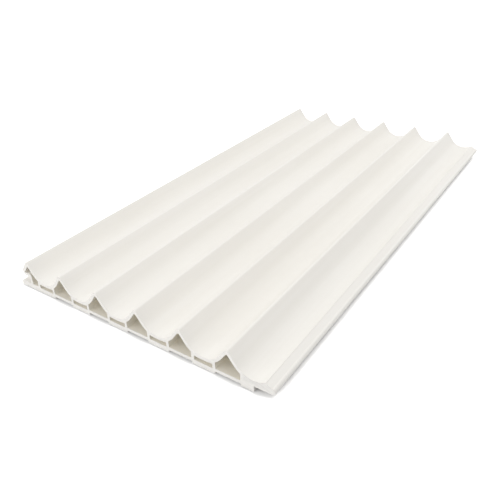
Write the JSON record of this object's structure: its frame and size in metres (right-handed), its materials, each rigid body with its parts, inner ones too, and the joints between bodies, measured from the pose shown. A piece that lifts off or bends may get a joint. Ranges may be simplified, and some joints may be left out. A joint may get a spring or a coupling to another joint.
{
  "type": "fluted wall panel",
  "caption": "Hollow extruded wall cladding panel with pointed ridges between round flutes, a flat back, and a tongue and a groove that join it to the next panel.",
  "frame": {"origin": "on the back face, in the middle of the overall width and of the length", "axes": "+X across the panel from the grooved edge to the tongued edge, +Y along the extruded length, +Z out from the wall, towards the fluted face"},
  "size_m": [0.202, 0.37, 0.02],
  "materials": {
    "ivory_plastic": "satin"
  },
  "bodies": {
    "root": {"fluted_panel": "ivory_plastic"}
  },
  "joints": []
}
